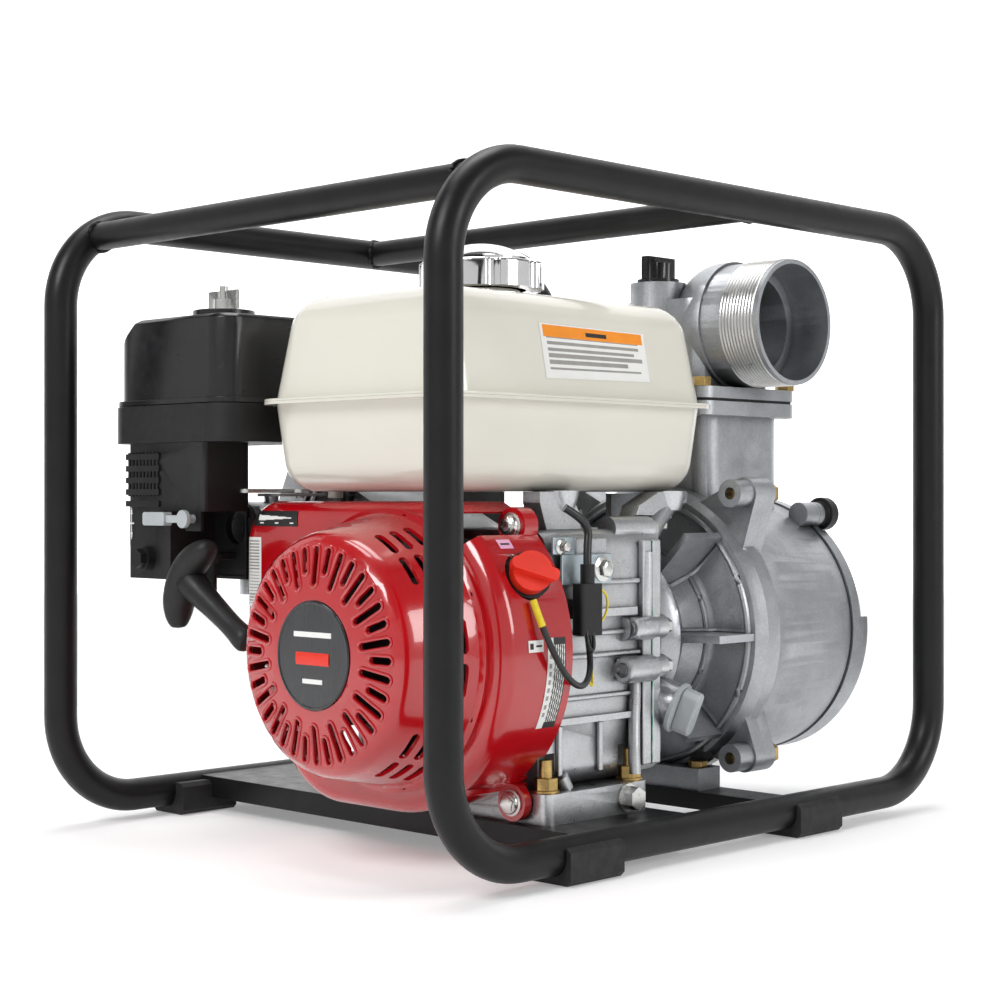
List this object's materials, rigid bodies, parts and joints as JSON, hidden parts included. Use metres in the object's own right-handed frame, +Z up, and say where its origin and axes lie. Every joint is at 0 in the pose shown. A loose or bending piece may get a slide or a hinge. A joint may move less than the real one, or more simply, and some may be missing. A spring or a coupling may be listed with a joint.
{
  "type": "gas engine trash pump",
  "caption": "Petrol-engine trash pump: cream fuel tank over a red recoil-start engine driving a cast alloy self-priming pump, all inside a black tubular carrying frame.",
  "frame": {"origin": "on the ground under the middle of the tubular frame (feet stand at Z = 0)", "axes": "+X along the crank axis from the recoil starter to the suction port, -Y towards the side of the discharge port, +Z up"},
  "size_m": [0.5162, 0.405, 0.4271],
  "materials": {
    "frame_black": "satin black powder coat",
    "foot_rubber": "matt moulded rubber",
    "cast_alloy": "die-cast, slightly mottled",
    "cast_alloy_pump": "sand-cast, grey and grainy",
    "machined_alloy": "machined thread",
    "shroud_red": "gloss red paint",
    "tank_cream": "gloss cream paint",
    "black_plastic": "matt moulded plastic",
    "gloss_black": "gloss plastic",
    "grey_plastic": "moulded grey plastic",
    "red_plastic": "gloss orange-red plastic",
    "chrome_cap": "polished chrome",
    "zinc_steel": "bright zinc plate",
    "yellow_zinc": "yellow zinc plate",
    "dark_steel": "oiled steel",
    "cast_iron": "as cast",
    "exhaust_steel": "heat-proof black",
    "gasket": "black gasket sheet",
    "filter_foam": "pleated paper and foam",
    "rope": "braided cord",
    "cable": "black sleeving",
    "ceramic_white": "glazed insulator"
  },
  "bodies": {
    "root": {"left_loop": "frame_black", "right_loop": "frame_black", "top_crossbars": "frame_black", "base_plates": "frame_black", "rubber_feet": "foot_rubber", "crankcase": "cast_alloy", "crankcase_cover": "cast_alloy", "engine_screws": "zinc_steel", "drain_plugs": "zinc_steel", "mount_bolts": "yellow_zinc", "cylinder_head": "cast_alloy", "rocker_cover": "zinc_steel", "spark_plug": "ceramic_white", "plug_cap": "black_plastic", "plug_lead": "cable", "muffler": "exhaust_steel", "muffler_guard": "exhaust_steel", "gaskets": "gasket", "fan_cover": "shroud_red", "recoil_cover": "shroud_red", "recoil_badge": "gloss_black", "starter_rope": "rope", "piston": "cast_alloy", "fuel_tank_upper": "tank_cream", "fuel_tank_lower": "tank_cream", "tank_brackets": "cast_alloy", "air_cleaner_base": "black_plastic", "filter_element": "filter_foam", "studs": "zinc_steel", "carburetor": "cast_alloy", "pump_adapter": "cast_alloy_pump", "pump_fasteners": "yellow_zinc", "pump_casing": "cast_alloy_pump", "inner_volute": "cast_iron", "mechanical_seal": "ceramic_white", "discharge_head": "machined_alloy", "switch_body": "black_plastic", "switch_wire": "cable", "wire_connector": "black_plastic", "ignition_coil": "black_plastic"},
    "crank": {"crankshaft": "dark_steel", "flywheel_fan": "cast_iron", "starter_cup": "dark_steel", "impeller": "cast_iron"},
    "rod": {"connecting_rod": "cast_alloy"},
    "reel": {"starter_reel": "black_plastic"},
    "handle": {"recoil_handle": "black_plastic"},
    "fuel_cap_body": {"fuel_cap": "chrome_cap"},
    "oil_cap_body": {"oil_filler_cap": "grey_plastic"},
    "priming_body": {"priming_plug": "black_plastic"},
    "wing_nut_body": {"wing_nut": "zinc_steel"},
    "cleaner_lid": {"air_cleaner_cover": "black_plastic"},
    "choke": {"choke_lever": "grey_plastic"},
    "fuel_valve": {"fuel_valve_lever": "black_plastic"},
    "throttle": {"throttle_lever": "black_plastic"},
    "governor": {"governor_arm": "zinc_steel"},
    "switch_knob": {"stop_switch_knob": "red_plastic"},
    "cleanout": {"suction_cover": "cast_alloy_pump", "cover_knobs": "black_plastic"},
    "flap": {"check_valve_flap": "foot_rubber"}
  },
  "joints": [
    {"name": "crank_spin", "type": "hinge", "parent": "root", "child": "crank", "pos_m": [0, -0.067, 0.131], "axis": [1, 0, 0], "continuous": true},
    {"name": "rod_swing", "type": "hinge", "parent": "crank", "child": "rod", "pos_m": [-0.064, -0.04661, 0.14051], "axis": [1, 0, 0], "continuous": true},
    {"name": "recoil_pull", "type": "slide", "parent": "root", "child": "handle", "axis": [-0.799, 0.4494, 0.3995], "range_m": [0, 0.35]},
    {"name": "reel_spin", "type": "hinge", "parent": "root", "child": "reel", "pos_m": [-0.206, -0.067, 0.131], "axis": [1, 0, 0], "range_deg": [0, 560]},
    {"name": "fuel_cap_turn", "type": "hinge", "parent": "root", "child": "fuel_cap_body", "pos_m": [-0.062, -0.034, 0.37], "axis": [0, 0, 1], "range_deg": [0, 90]},
    {"name": "oil_cap_turn", "type": "hinge", "parent": "root", "child": "oil_cap_body", "pos_m": [0.006, -0.146, 0.088], "axis": [0.3119, -0.8733, -0.3743], "continuous": true},
    {"name": "priming_plug_turn", "type": "hinge", "parent": "root", "child": "priming_body", "pos_m": [0.095, -0.058, 0.38], "axis": [0, 0, 1], "continuous": true},
    {"name": "wing_nut_turn", "type": "hinge", "parent": "cleaner_lid", "child": "wing_nut_body", "pos_m": [-0.172, 0.104, 0.357], "axis": [0, 0, 1], "continuous": true},
    {"name": "cleaner_lid_lift", "type": "slide", "parent": "root", "child": "cleaner_lid", "axis": [0, 0, 1], "range_m": [0, 0.035]},
    {"name": "choke_turn", "type": "hinge", "parent": "root", "child": "choke", "pos_m": [-0.2165, 0.092, 0.211], "axis": [1, 0, 0], "range_deg": [-25, 0]},
    {"name": "fuel_valve_turn", "type": "hinge", "parent": "root", "child": "fuel_valve", "pos_m": [-0.19, 0.096, 0.186], "axis": [1, 0, 0], "range_deg": [-60, 0]},
    {"name": "throttle_turn", "type": "hinge", "parent": "root", "child": "throttle", "pos_m": [-0.14, 0.062, 0.229], "axis": [0, 0, 1], "range_deg": [0, 25]},
    {"name": "governor_turn", "type": "hinge", "parent": "root", "child": "governor", "pos_m": [-0.0085, 0.058, 0.15], "axis": [0, 1, 0], "range_deg": [0, 12]},
    {"name": "switch_turn", "type": "hinge", "parent": "root", "child": "switch_knob", "pos_m": [-0.146, -0.155, 0.178], "axis": [-0.4412, -0.8403, 0.3151], "range_deg": [0, 60]},
    {"name": "cleanout_slide", "type": "slide", "parent": "root", "child": "cleanout", "axis": [1, 0, 0], "range_m": [0, 0.05]},
    {"name": "flap_swing", "type": "hinge", "parent": "cleanout", "child": "flap", "pos_m": [0.1865, -0.067, 0.183], "axis": [0, 1, 0], "range_deg": [0, 25]}
  ],
  "couplings": [
    {"joint": "rod_swing", "follows": "crank_spin", "ratio": -1},
    {"joint": "reel_spin", "follows": "recoil_pull", "rad_per_m": 27.78}
  ]
}
